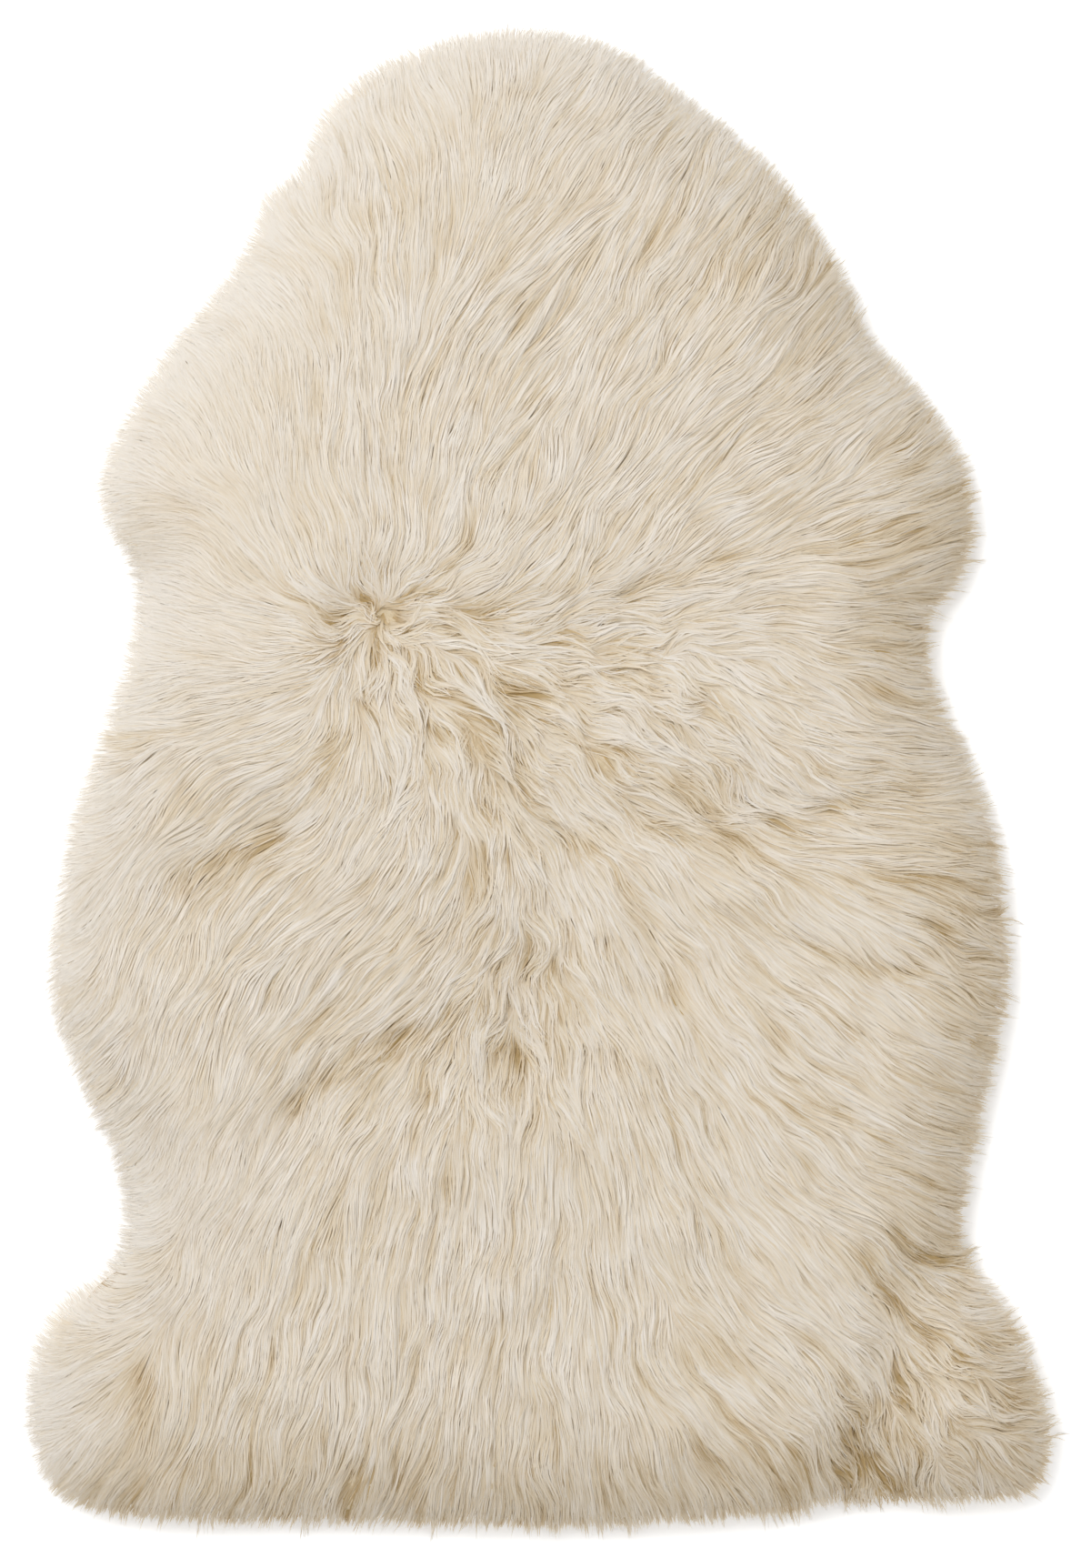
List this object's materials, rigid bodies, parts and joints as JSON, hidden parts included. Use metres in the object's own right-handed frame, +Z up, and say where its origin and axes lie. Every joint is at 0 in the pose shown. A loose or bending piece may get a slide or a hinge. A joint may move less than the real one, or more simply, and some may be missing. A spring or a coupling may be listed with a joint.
{
  "type": "sheepskin rug",
  "caption": "Natural sheepskin rug with a rounded neck end, leg lobes, long combed wool on top and a flat leather underside.",
  "frame": {"origin": "middle of the pelt's box, on the flat leather face that rests on the floor", "axes": "+Z up, out of the wool; +Y along the pelt, from the tail towards the neck; +X to the right seen from above"},
  "size_m": [0.616, 0.8982, 0.048],
  "materials": {
    "wool": "long soft ivory sheep's wool, combed, matt with a faint sheen on the tips",
    "skin": "pale tanned suede on the underside"
  },
  "bodies": {
    "root": {"pelt": "wool"}
  },
  "joints": []
}
